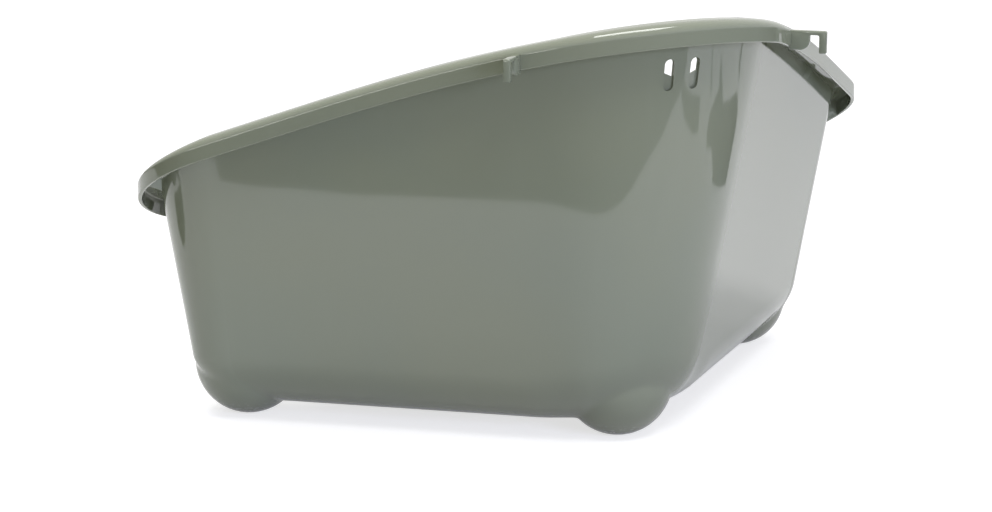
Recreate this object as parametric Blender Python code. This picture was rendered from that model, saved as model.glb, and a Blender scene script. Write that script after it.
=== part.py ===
"""Corner litter tray for a small animal's cage.

The tray stands in a right-angled cage corner. Its rim is highest at the back corner and falls
along both legs and round both tips to a low, straight entrance. +Z is up, +Y points to the back
corner, and the tray is symmetric about X = 0. The origin is under the middle of its outline, on
the surface that it stands on. All sizes are in metres.
"""

import math
from collections import namedtuple

import bmesh
import bpy
from mathutils import Matrix, Vector

# Overall size
WIDTH = 0.350
DEPTH = 0.205
HEIGHT = 0.185
FRONT_HEIGHT = 0.0895
GAP = 0.0003
CUT_OVERRUN = 0.010

# Outline of the rim, seen from above
RIM_CORNER_RADIUS = 0.078
RIM_TIP_RADIUS = 0.0445
RIM_FALL_SHARES = (0.0, 0.12, 0.245, 0.61, 0.69, 1.0)

# Section of the rim
RIM_WIDTH = 0.0091
SKIRT_HEIGHT = 0.0093
SKIRT_THICKNESS = 0.0017
FLANGE_THICKNESS = 0.0020
RIM_ROUNDING = 0.0025
RIM_INNER_ROUNDING = 0.0012
RIM_SEAT_DEPTH = 0.0060
RIM_SEAT_LEDGE = 0.0034

# Basin
WALL_THICKNESS = 0.0020
FLOOR_CLEARANCE = 0.0058
LEG_DRAFT_ANGLE = math.radians(10.1)
FRONT_DRAFT_ANGLE = math.radians(8.6)
COVE_RADIUS = 0.0300
COVE_BEND_RADIUS = 0.0355
COVE_CORNER_RADIUS = 0.0420
COVE_CORNER_SHARE = 0.952
COVE_EASING = 0.0180
COVE_TIP_ROUNDING = 0.0040
COVE_TIP_SHARE = 0.88

# Slots at the back corner, open through the wall at the top and recessed below
SLOT_SPACING = 0.0116
SLOT_WIDTH = 0.0044
SLOT_LENGTH = 0.0134
SLOT_BELOW_RIM = 0.0158
SLOT_RECESS = 0.0008
SLOT_LEDGE = 0.0002
SLOT_OPEN_OUTER = 0.0060
SLOT_OPEN_INNER = 0.0078

# Ball feet
FOOT_RADIUS = 0.0236
FOOT_WALL = 0.0020
FOOT_TOP_SHARE = 1.5
FOOT_PAD_DEPTH = 0.0005
BACK_FOOT_OUT = 0.0145
TIP_FOOT_IN = 0.0055
TIP_FOOT_FORWARD = 0.0090

# Cage hooks on the legs
HOOK_FROM_MIDDLE = 0.0648
HOOK_REACH = 0.0148
HOOK_THICKNESS = 0.0029
HOOK_BELOW_RIM = 0.0021
HOOK_TOP = 0.0018
HOOK_LIP = 0.0031
HOOK_DROP = 0.0094
HOOK_WIRE_GAP = 0.0040
HOOK_WEB_HEIGHT = 0.0082
HOOK_WEB_ROUNDING = 0.0040
HOOK_CORNER_ROUNDING = 0.0008

# Ribs inside the skirt, on each leg near the tip and at each tip
RIB_THICKNESS = 0.0016
RIB_SKIRT_DEPTH = 0.0086
LEG_RIB_PLACE = 0.0215
LEG_RIB_REACH = 0.0042
LEG_RIB_DEPTH = 0.0095
TIP_RIB_ANGLE = math.radians(1.5)
TIP_RIB_REACH = 0.0072
TIP_RIB_DEPTH = 0.0115

# Fineness of the surfaces
CORNER_STEPS = 7
LEG_STEPS = 12
TIP_STEPS = 20
FRONT_STEPS = 5
COVE_STEPS = 6
ROUND_STEPS = 4
BALL_SEGMENTS = 40
BALL_RINGS = 20

# Finish
PLASTIC_COLOUR = (0.215, 0.235, 0.185, 1.0)
PLASTIC_ROUGHNESS = 0.28
SMOOTH_ANGLE = math.radians(32)

BACK = DEPTH / 2
FRONT = -DEPTH / 2
TIP_CENTRE = Vector((WIDTH / 2 - RIM_TIP_RADIUS, FRONT + RIM_TIP_RADIUS))
CORNER_CENTRE = Vector((0, BACK - RIM_CORNER_RADIUS))

# A station is a place on the rim's outer edge: its plan position, its outward normal, the height
# of the rim's top there, and the draft of the wall below it as a slope
Station = namedtuple("Station", "place normal top draft")


def leg_normal_angle():
    """Angle of the leg's outward normal, for a leg that touches the corner arc and the tip arc."""
    across = WIDTH / 2 - RIM_TIP_RADIUS
    along = DEPTH - RIM_CORNER_RADIUS - RIM_TIP_RADIUS
    spread = RIM_CORNER_RADIUS - RIM_TIP_RADIUS
    return math.acos(spread / math.hypot(across, along)) - math.atan2(along, across)


def rim_top(y):
    """Height of the rim's top at a place along the depth, on one smooth falling curve."""
    t = min(max((BACK - y) / DEPTH, 0.0), 1.0)
    order = len(RIM_FALL_SHARES) - 1
    fall = sum(math.comb(order, i) * t ** i * (1 - t) ** (order - i) * share
               for i, share in enumerate(RIM_FALL_SHARES))
    return HEIGHT - (HEIGHT - FRONT_HEIGHT) * fall


def ease(t):
    """A share that starts and ends gently, from 0 to 1."""
    t = min(max(t, 0.0), 1.0)
    return t * t * (3 - 2 * t)


def draft_slope(angle):
    """Draft of the wall, easing from the legs' value to the front's round the tip."""
    leg = leg_normal_angle()
    leg_slope = math.tan(LEG_DRAFT_ANGLE)
    change = math.tan(FRONT_DRAFT_ANGLE) - leg_slope
    return leg_slope + change * ease((leg - angle) / (leg + math.pi / 2))


def station(place, angle):
    normal = Vector((math.cos(angle), math.sin(angle)))
    return Station(place, normal, rim_top(place.y), draft_slope(angle))


def arc_station(centre, radius, angle):
    normal = Vector((math.cos(angle), math.sin(angle)))
    return station(centre + radius * normal, angle)


def leg_ends():
    """Where the leg leaves the corner arc, and where it meets the tip arc."""
    angle = leg_normal_angle()
    return (arc_station(CORNER_CENTRE, RIM_CORNER_RADIUS, angle).place,
            arc_station(TIP_CENTRE, RIM_TIP_RADIUS, angle).place)


def leg_station(before_tip):
    """A station on the leg, at a distance before the start of the tip arc."""
    back_end, tip_end = leg_ends()
    along = (tip_end - back_end).normalized()
    return station(tip_end - before_tip * along, leg_normal_angle())


def half_outline():
    """Stations of the +X half, from the middle of the back corner to the middle of the front."""
    leg = leg_normal_angle()
    back_end, tip_end = leg_ends()
    length = (tip_end - back_end).length
    stations = []
    for i in range(CORNER_STEPS + 1):
        angle = math.pi / 2 + (leg - math.pi / 2) * i / CORNER_STEPS
        stations.append(arc_station(CORNER_CENTRE, RIM_CORNER_RADIUS, angle))
    for i in range(1, LEG_STEPS):
        stations.append(leg_station(length * (1 - i / LEG_STEPS)))
    for i in range(TIP_STEPS + 1):
        angle = leg + (-math.pi / 2 - leg) * i / TIP_STEPS
        stations.append(arc_station(TIP_CENTRE, RIM_TIP_RADIUS, angle))
    for i in range(1, FRONT_STEPS + 1):
        place = Vector((TIP_CENTRE.x * (1 - i / FRONT_STEPS), FRONT))
        stations.append(station(place, -math.pi / 2))
    return stations


def mirrored(item):
    """The same station on the -X side."""
    return Station(Vector((-item.place.x, item.place.y)), Vector((-item.normal.x, item.normal.y)),
                   item.top, item.draft)


def outline():
    """Stations all the way round, each place once."""
    half = half_outline()
    return half + [mirrored(item) for item in reversed(half[1:-1])]


def section_point(item, out, down):
    """A point out from the skirt's outer face and down from the rim's top."""
    place = item.place + item.normal * out
    return Vector((place.x, place.y, item.top - down))


def wall_point(item, height, inset):
    """A point at a height above the ground, inset from the wall's outer face."""
    out = -RIM_WIDTH - item.draft * (item.top - height) - inset
    return section_point(item, out, item.top - height)


def level_wall(item):
    """Horizontal thickness of the sloping wall."""
    return WALL_THICKNESS * math.hypot(1, item.draft)


def cove_turn(item):
    """Angle that the cove turns through, from the floor to the leaning wall."""
    return math.pi / 2 - math.atan(item.draft)


def corner_cove_radius():
    """The cove's radius at the middle of the back corner, kept below what the corner allows."""
    slope = math.tan(LEG_DRAFT_ANGLE)
    corner = RIM_CORNER_RADIUS - RIM_WIDTH - slope * (HEIGHT - FLOOR_CLEARANCE)
    most = COVE_CORNER_SHARE * corner / math.tan((math.pi / 2 - LEG_DRAFT_ANGLE) / 2)
    return min(COVE_CORNER_RADIUS, most)


def cove_radius(item):
    """The cove's radius, easing up from the legs to the middle of the back corner."""
    if item.normal.y <= 0:
        return COVE_RADIUS
    leg = leg_normal_angle()
    angle = math.atan2(item.normal.y, abs(item.normal.x))
    past_corner = abs(item.place.x) - leg_ends()[0].x
    radius = COVE_RADIUS + (COVE_BEND_RADIUS - COVE_RADIUS) * ease(1 - past_corner / COVE_EASING)
    bend = ease((angle - leg) / (math.pi / 2 - leg))
    return radius + (corner_cove_radius() - COVE_BEND_RADIUS) * bend


def cove_run(item):
    """Length from the corner of floor and wall to either end of the cove."""
    return cove_radius(item) * math.tan(cove_turn(item) / 2)


def cove_rise(item, grow):
    """Height of the cove on the wall, lower round the tip than on the legs and the front."""
    turn = cove_turn(item)
    full = (cove_run(item) + grow * math.tan(turn / 2)) * math.sin(turn)
    leg = leg_normal_angle()
    angle = math.atan2(item.normal.y, abs(item.normal.x))
    share = COVE_TIP_SHARE
    if angle < leg:
        share += (1 - share) * math.cos(math.pi * (leg - angle) / (leg + math.pi / 2)) ** 2
    else:
        share = 1.0
    return full * share


def flat_floor_outline():
    """Where the floor turns up into the cove, seen from above, for each station of one half.

    It runs parallel to the corner of floor and wall at the cove's length, and round the tip it
    follows a small arc of its own, because the walls meet there more tightly than the cove.
    """
    half = half_outline()
    corners = [wall_point(item, FLOOR_CLEARANCE, 0).to_2d() for item in half]
    leg_start = CORNER_STEPS
    tip_start = CORNER_STEPS + LEG_STEPS
    front_start = tip_start + TIP_STEPS
    run = cove_run(half[tip_start])
    along = (corners[tip_start] - corners[leg_start]).normalized()
    leg_normal = Vector((-along.y, along.x))
    front_level = corners[front_start].y + run + COVE_TIP_ROUNDING
    start = corners[leg_start] - leg_normal * (run + COVE_TIP_ROUNDING)
    centre = start + along * (front_level - start.y) / along.y
    first_angle = math.atan2(leg_normal.y, leg_normal.x)
    line_start = start + leg_normal * COVE_TIP_ROUNDING
    line_end = centre + leg_normal * COVE_TIP_ROUNDING
    points = []
    for i, item in enumerate(half):
        if i < leg_start:
            points.append(corners[i] - item.normal * cove_run(item))
        elif i < tip_start:
            place = line_start.lerp(line_end, (i - leg_start) / LEG_STEPS)
            points.append(place - leg_normal * (cove_run(item) - run))
        elif i <= front_start:
            t = (i - tip_start) / TIP_STEPS
            angle = first_angle + (-math.pi / 2 - first_angle) * t
            reach = Vector((math.cos(angle), math.sin(angle))) * COVE_TIP_ROUNDING
            points.append(centre + reach)
        else:
            t = (i - front_start) / FRONT_STEPS
            points.append(points[front_start].lerp(Vector((0, front_level - COVE_TIP_ROUNDING)), t))
    return points


def cove_rings(stations, grow):
    """Rings of the cove, from the floor's edge up to the wall, moved out from the outer face."""
    floor = FLOOR_CLEARANCE - grow
    half = flat_floor_outline()
    edges = half + [Vector((-point.x, point.y)) for point in reversed(half[1:-1])]
    rings = [[] for i in range(COVE_STEPS + 1)]
    for item, place in zip(stations, edges):
        inset = -grow * math.hypot(1, item.draft)
        turn = cove_turn(item)
        edge = Vector((place.x, place.y, floor))
        corner = wall_point(item, floor, inset)
        wall = wall_point(item, floor + cove_rise(item, grow), inset)
        for i, ring in enumerate(rings):
            t = i / COVE_STEPS
            shares = ((1 - t) ** 2, 2 * t * (1 - t) * math.cos(turn / 2), t ** 2)
            point = edge * shares[0] + corner * shares[1] + wall * shares[2]
            ring.append(point / sum(shares))
    return rings


def loft(name, rings, capped):
    """A mesh through rings of like length, capped at both ends or closed into a loop."""
    mesh = bpy.data.meshes.new(name)
    shape = bmesh.new()
    rows = [[shape.verts.new(point) for point in ring] for ring in rings]
    pairs = list(zip(rows, rows[1:]))
    if not capped:
        pairs.append((rows[-1], rows[0]))
    for lower, upper in pairs:
        for i in range(len(lower)):
            j = (i + 1) % len(lower)
            shape.faces.new((lower[i], lower[j], upper[j], upper[i]))
    if capped:
        shape.faces.new(rows[0])
        shape.faces.new(rows[-1])
    bmesh.ops.recalc_face_normals(shape, faces=shape.faces)
    shape.to_mesh(mesh)
    shape.free()
    return mesh


def plastic(name):
    """The tray's glossy grey-green plastic."""
    material = bpy.data.materials.new(name)
    material.use_nodes = True
    shader = material.node_tree.nodes["Principled BSDF"]
    shader.inputs["Base Color"].default_value = PLASTIC_COLOUR
    shader.inputs["Roughness"].default_value = PLASTIC_ROUGHNESS
    shader.inputs["Metallic"].default_value = 0.0
    material.diffuse_color = PLASTIC_COLOUR
    return material


def add_piece(name, mesh, smooth=True):
    """An object of the tray with its own material."""
    mesh.materials.clear()
    mesh.materials.append(plastic(name + "_plastic"))
    if smooth:
        mesh.shade_smooth()
        mesh.set_sharp_from_angle(angle=SMOOTH_ANGLE)
    piece = bpy.data.objects.new(name, mesh)
    bpy.data.collections[PIECES].objects.link(piece)
    return piece


def add_cutter(name, mesh):
    cutter = bpy.data.objects.new(name, mesh)
    cutter.hide_render = True
    cutter.display_type = "WIRE"
    bpy.data.collections[CUTTERS].objects.link(cutter)
    return cutter


def cut(piece, cutter):
    modifier = piece.modifiers.new("cut " + cutter.name, "BOOLEAN")
    modifier.operation = "DIFFERENCE"
    modifier.solver = "EXACT"
    modifier.object = cutter


def plate_mesh(name, points, thickness):
    """A flat plate from its outline, centred on its own XY plane, with its caps welded."""
    curve = bpy.data.curves.new(name + " outline", "CURVE")
    curve.dimensions = "2D"
    curve.fill_mode = "BOTH"
    curve.extrude = thickness / 2
    spline = curve.splines.new("POLY")
    spline.points.add(len(points) - 1)
    for spot, (x, y) in zip(spline.points, points):
        spot.co = (x, y, 0, 1)
    spline.use_cyclic_u = True
    guide = bpy.data.objects.new(name + " outline", curve)
    bpy.data.collections[CUTTERS].objects.link(guide)
    depsgraph = bpy.context.evaluated_depsgraph_get()
    mesh = bpy.data.meshes.new_from_object(guide.evaluated_get(depsgraph))
    bpy.data.objects.remove(guide)
    bpy.data.curves.remove(curve)
    shape = bmesh.new()
    shape.from_mesh(mesh)
    bmesh.ops.remove_doubles(shape, verts=shape.verts, dist=GAP / 10)
    bmesh.ops.recalc_face_normals(shape, faces=shape.faces)
    shape.to_mesh(mesh)
    shape.free()
    mesh.name = name
    return mesh


def ball_mesh(name, radius):
    """A ball whose upper half is drawn upwards, to run into the wall above it."""
    mesh = bpy.data.meshes.new(name)
    shape = bmesh.new()
    bmesh.ops.create_uvsphere(shape, u_segments=BALL_SEGMENTS, v_segments=BALL_RINGS, radius=radius)
    upper = [vert for vert in shape.verts if vert.co.z > 0]
    bmesh.ops.scale(shape, vec=(1, 1, FOOT_TOP_SHARE), verts=upper)
    shape.to_mesh(mesh)
    shape.free()
    return mesh


def box_mesh(name, low, high):
    mesh = bpy.data.meshes.new(name)
    shape = bmesh.new()
    size = high - low
    bmesh.ops.create_cube(shape, size=size.z)
    bmesh.ops.scale(shape, vec=size / size.z, verts=shape.verts)
    bmesh.ops.translate(shape, vec=(low + high) / 2, verts=shape.verts)
    shape.to_mesh(mesh)
    shape.free()
    return mesh


def section_matrix(item):
    """Frame of a plate that stands across the rim: X outward, Y up, Z along the rim."""
    outward = Vector((item.normal.x, item.normal.y, 0))
    up = Vector((0, 0, 1))
    along = outward.cross(up)
    place = Vector((item.place.x, item.place.y, item.top))
    return Matrix((outward, up, along)).transposed().to_4x4(), place


def rim_slope(item):
    """How steeply the rim falls along its own outline at a station."""
    along = Vector((-item.normal.y, item.normal.x))
    probe = GAP
    ahead = rim_top(item.place.y + along.y * probe)
    behind = rim_top(item.place.y - along.y * probe)
    return abs(ahead - behind) / (2 * probe)


def arc_points(centre, radius, start, end, steps):
    points = []
    for i in range(steps + 1):
        angle = start + (end - start) * i / steps
        points.append((centre[0] + radius * math.cos(angle), centre[1] + radius * math.sin(angle)))
    return points


def make_basin(stations):
    """Floor, coved corners and drafted walls in one shell, up to its seat inside the rim."""
    seat = FLANGE_THICKNESS + GAP
    outer = cove_rings(stations, 0)
    inner = cove_rings(stations, -WALL_THICKNESS)
    outer.append([wall_point(item, item.top - seat, 0) for item in stations])
    inner.append([wall_point(item, item.top - seat, level_wall(item)) for item in stations])
    basin = add_piece("basin", loft("basin", outer + inner[::-1], capped=True))
    for side in (-1, 1):
        cut(basin, slot_cutter("slot opening", side, slot_opening(side), CUT_OVERRUN))
        cut(basin, slot_cutter("slot recess", side, slot_outline(), SLOT_RECESS))
    for name, centre in foot_centres().items():
        hollow = add_cutter(name + " pocket", ball_mesh(name + " pocket", FOOT_RADIUS - FOOT_WALL))
        hollow.location = centre
        cut(basin, hollow)
    return basin


def slot_outline():
    """A round-ended slot, upright, from its lower end's middle."""
    half = SLOT_WIDTH / 2
    return (arc_points((0, half), half, -math.pi, 0, 2 * ROUND_STEPS)
            + arc_points((0, SLOT_LENGTH - half), half, 0, math.pi, 2 * ROUND_STEPS))


def slot_opening(side):
    """The slot's open part: round above, and sloping down towards the tray's middle below."""
    half = SLOT_WIDTH / 2 - SLOT_LEDGE
    depths = (SLOT_OPEN_INNER, SLOT_OPEN_OUTER) if side < 0 else (SLOT_OPEN_OUTER, SLOT_OPEN_INNER)
    return (arc_points((0, SLOT_LENGTH - SLOT_WIDTH / 2), half, 0, math.pi, 2 * ROUND_STEPS)
            + [(-half, SLOT_LENGTH - depths[0]), (half, SLOT_LENGTH - depths[1])])


def slot_cutter(name, side, points, depth):
    """A bar with a slot's outline, square to the back wall, reaching a depth into it."""
    middle = HEIGHT - SLOT_BELOW_RIM - SLOT_LENGTH
    lean = LEG_DRAFT_ANGLE
    radius = RIM_CORNER_RADIUS - RIM_WIDTH - math.tan(lean) * (HEIGHT - middle)
    swing = math.asin(side * SLOT_SPACING / 2 / radius)
    level = Vector((math.sin(swing), math.cos(swing), 0))
    up = Vector((0, 0, 1))
    outward = level * math.cos(lean) - up * math.sin(lean)
    along = level * math.sin(lean) + up * math.cos(lean)
    foot = Vector((CORNER_CENTRE.x, CORNER_CENTRE.y, middle)) + level * radius
    cutter = add_cutter(name, plate_mesh(name, points, depth + CUT_OVERRUN))
    turn = Matrix((along.cross(outward), along, outward)).transposed().to_4x4()
    cutter.matrix_world = Matrix.Translation(foot + outward * (CUT_OVERRUN - depth) / 2) @ turn
    return cutter


def rim_section():
    """The rim's section, as functions of the wall's draft: out from the skirt, down from the top."""
    inner_edge = -RIM_WIDTH
    points = [lambda k, a=a: (-RIM_ROUNDING + RIM_ROUNDING * math.cos(a),
                              RIM_ROUNDING - RIM_ROUNDING * math.sin(a))
              for a in (math.pi / 2 * i / ROUND_STEPS for i in range(ROUND_STEPS + 1))]

    def inner_face(k):
        return inner_edge - WALL_THICKNESS * math.hypot(1, k)

    for i in range(ROUND_STEPS + 1):
        angle = math.pi / 2 * (1 + i / ROUND_STEPS)
        points.append(lambda k, a=angle: (
            inner_face(k) + RIM_INNER_ROUNDING * (1 + math.cos(a)),
            RIM_INNER_ROUNDING * (1 - math.sin(a))))
    points.append(lambda k: (inner_face(k) - k * FLANGE_THICKNESS, FLANGE_THICKNESS))
    points.append(lambda k: (inner_edge - k * FLANGE_THICKNESS + GAP * math.hypot(1, k),
                             FLANGE_THICKNESS))
    points.append(lambda k: (inner_edge - k * RIM_SEAT_DEPTH + GAP * math.hypot(1, k),
                             RIM_SEAT_DEPTH))
    points.append(lambda k: (inner_edge + RIM_SEAT_LEDGE, FLANGE_THICKNESS))
    points.append(lambda k: (-SKIRT_THICKNESS, FLANGE_THICKNESS))
    points.append(lambda k: (-SKIRT_THICKNESS, SKIRT_HEIGHT))
    points.append(lambda k: (0, SKIRT_HEIGHT))
    return points


def make_rim(stations):
    """The flange round the top with its turned-down skirt, seated over the wall's edge."""
    rings = []
    for corner in rim_section():
        rings.append([section_point(item, *corner(item.draft)) for item in stations])
    return add_piece("rim", loft("rim", rings, capped=False))


def foot_centres():
    """Centres of the three ball feet, from the centres of the rim's corner and tip arcs."""
    height = FOOT_RADIUS - FOOT_PAD_DEPTH
    tip = TIP_CENTRE + Vector((-TIP_FOOT_IN, -TIP_FOOT_FORWARD))
    return {
        "foot_back": Vector((0, CORNER_CENTRE.y + BACK_FOOT_OUT, height)),
        "foot_left": Vector((-tip.x, tip.y, height)),
        "foot_right": Vector((tip.x, tip.y, height)),
    }


def make_feet(stations):
    """Hollow balls under the three corners, cut off where the basin sits in them."""
    body = cove_rings(stations, GAP)
    over_feet = (1 + FOOT_TOP_SHARE) * FOOT_RADIUS + CUT_OVERRUN
    body.append([wall_point(item, over_feet, -GAP * math.hypot(1, item.draft))
                 for item in stations])
    basin_space = add_cutter("basin space", loft("basin space", body, capped=True))
    below = add_cutter("ground cutter", box_mesh(
        "ground cutter", Vector((-WIDTH, -DEPTH, -FOOT_RADIUS)), Vector((WIDTH, DEPTH, 0))))
    for name, centre in foot_centres().items():
        foot = add_piece(name, ball_mesh(name, FOOT_RADIUS))
        foot.location = centre
        cut(foot, bpy.data.objects[name + " pocket"])
        cut(foot, basin_space)
        cut(foot, below)


def hook_outline(item):
    """The hook's side view: a web against the skirt, a bar over the wire and a lip outside it."""
    top = -HOOK_BELOW_RIM
    web_side = HOOK_REACH - HOOK_LIP - HOOK_WIRE_GAP
    web_foot = top - HOOK_WEB_HEIGHT
    ceiling = top - HOOK_TOP
    corner = HOOK_CORNER_ROUNDING
    quarter = math.pi / 2
    return (
        [(GAP, top)]
        + arc_points((HOOK_REACH - corner, top - corner), corner, quarter, 0, ROUND_STEPS)
        + [(HOOK_REACH, top - HOOK_DROP), (HOOK_REACH - HOOK_LIP, top - HOOK_DROP)]
        + arc_points((HOOK_REACH - HOOK_LIP - corner, ceiling - corner), corner, 0, quarter, ROUND_STEPS)
        + arc_points((web_side + corner, ceiling - corner), corner, quarter, 2 * quarter, ROUND_STEPS)
        + arc_points((web_side - HOOK_WEB_ROUNDING, web_foot + HOOK_WEB_ROUNDING),
                     HOOK_WEB_ROUNDING, 0, -quarter, 2 * ROUND_STEPS)
        + [(GAP, web_foot)]
    )


def make_hook(name, item):
    """A plate that stands out from the skirt and hangs over a wire of the cage."""
    piece = add_piece(name, plate_mesh(name, hook_outline(item), HOOK_THICKNESS), smooth=False)
    turn, place = section_matrix(item)
    piece.matrix_world = Matrix.Translation(place) @ turn
    return piece


def rib_outline(item, reach, depth):
    """A plate in the corner of flange and skirt, a little deeper away from the skirt."""
    clear = GAP + rim_slope(item) * RIB_THICKNESS / 2
    skirt = -SKIRT_THICKNESS - GAP
    under = FLANGE_THICKNESS + clear
    ledge = -RIM_WIDTH + RIM_SEAT_LEDGE
    slope = (RIM_SEAT_DEPTH - FLANGE_THICKNESS) / (RIM_SEAT_LEDGE + item.draft * RIM_SEAT_DEPTH)
    points = [(skirt, -under)]
    if ledge > -reach:
        points.append((ledge, -under))
    points.append((-reach, -under - max(reach + ledge, 0) * slope))
    return points + [(-reach, -depth), (skirt, -RIB_SKIRT_DEPTH)]


def make_rib(name, item, reach, depth):
    piece = add_piece(name, plate_mesh(name, rib_outline(item, reach, depth), RIB_THICKNESS),
                      smooth=False)
    turn, place = section_matrix(item)
    piece.matrix_world = Matrix.Translation(place) @ turn
    return piece


def hook_station():
    """The station of a hook, at its distance from the tray's middle."""
    back_end, tip_end = leg_ends()
    slant = (tip_end - back_end).length / (tip_end.x - back_end.x)
    return leg_station((tip_end.x - HOOK_FROM_MIDDLE) * slant)


PIECES = "corner_litter_tray"
CUTTERS = "cutters"


def main():
    for item in list(bpy.data.objects):
        bpy.data.objects.remove(item)
    for name in (PIECES, CUTTERS):
        bpy.context.scene.collection.children.link(bpy.data.collections.new(name))

    stations = outline()
    make_basin(stations)
    make_rim(stations)
    make_feet(stations)

    for side, turned in (("right", lambda item: item), ("left", mirrored)):
        make_hook("cage_hook_" + side, turned(hook_station()))
        make_rib("leg_rib_" + side, turned(leg_station(LEG_RIB_PLACE)), LEG_RIB_REACH, LEG_RIB_DEPTH)
        tip = arc_station(TIP_CENTRE, RIM_TIP_RADIUS, TIP_RIB_ANGLE)
        make_rib("tip_rib_" + side, turned(tip), TIP_RIB_REACH, TIP_RIB_DEPTH)


main()
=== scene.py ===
"""Looks of a corner litter tray: finer pieces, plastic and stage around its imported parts."""

import math

import bmesh
import bpy
import numpy as np
from mathutils import Matrix, Vector
from mathutils.bvhtree import BVHTree
from mathutils.interpolate import poly_3d_calc


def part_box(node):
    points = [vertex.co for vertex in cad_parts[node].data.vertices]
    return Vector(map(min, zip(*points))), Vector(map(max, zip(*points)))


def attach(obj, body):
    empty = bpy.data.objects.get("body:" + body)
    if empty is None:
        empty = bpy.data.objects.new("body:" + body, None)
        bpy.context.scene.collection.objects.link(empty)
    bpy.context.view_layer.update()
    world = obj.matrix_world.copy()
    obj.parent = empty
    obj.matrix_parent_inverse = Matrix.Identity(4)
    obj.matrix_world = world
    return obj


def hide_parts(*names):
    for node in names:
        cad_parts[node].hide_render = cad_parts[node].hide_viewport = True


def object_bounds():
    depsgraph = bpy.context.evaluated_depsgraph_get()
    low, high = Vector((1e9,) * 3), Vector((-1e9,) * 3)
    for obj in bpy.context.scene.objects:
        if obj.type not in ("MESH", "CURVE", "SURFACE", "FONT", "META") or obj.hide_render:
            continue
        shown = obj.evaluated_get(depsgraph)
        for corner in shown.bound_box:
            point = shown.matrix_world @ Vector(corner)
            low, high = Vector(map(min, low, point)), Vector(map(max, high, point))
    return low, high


bl_info = {
    "name": "Corner litter tray",
    "version": (1, 0, 0),
    "blender": (4, 5, 0),
    "location": "3D View > Sidebar > Litter Tray",
    "description": "Dresses the packed parts of a corner litter tray and sets up its stage",
    "category": "Object",
}

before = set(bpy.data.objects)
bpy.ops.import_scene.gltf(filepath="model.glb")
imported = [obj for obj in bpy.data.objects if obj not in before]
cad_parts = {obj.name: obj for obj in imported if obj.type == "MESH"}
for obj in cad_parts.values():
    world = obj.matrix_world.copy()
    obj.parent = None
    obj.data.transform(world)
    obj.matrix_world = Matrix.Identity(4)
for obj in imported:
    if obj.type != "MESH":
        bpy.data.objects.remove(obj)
CAD_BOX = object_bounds()
BODY = "root"
RIM_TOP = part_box("rim")[1].z


def length(name, description, default):
    """A setting in metres."""
    return bpy.props.FloatProperty(
        name=name, description=description, default=default, unit="LENGTH", precision=4)


def angle(name, description, degrees):
    """An angle, given in degrees."""
    return bpy.props.FloatProperty(
        name=name, description=description, default=math.radians(degrees), unit="ROTATION")


def share(name, description, default):
    """A setting from 0 to 1."""
    return bpy.props.FloatProperty(
        name=name, description=description, default=default, min=0.0, max=1.0, subtype="FACTOR")


def number(name, description, default):
    """A plain number from 0 upwards."""
    return bpy.props.FloatProperty(name=name, description=description, default=default, min=0.0)


def colour(name, description, default):
    """A colour without its alpha."""
    return bpy.props.FloatVectorProperty(
        name=name, description=description, default=default, size=3, min=0.0, max=1.0,
        subtype="COLOR")


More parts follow.
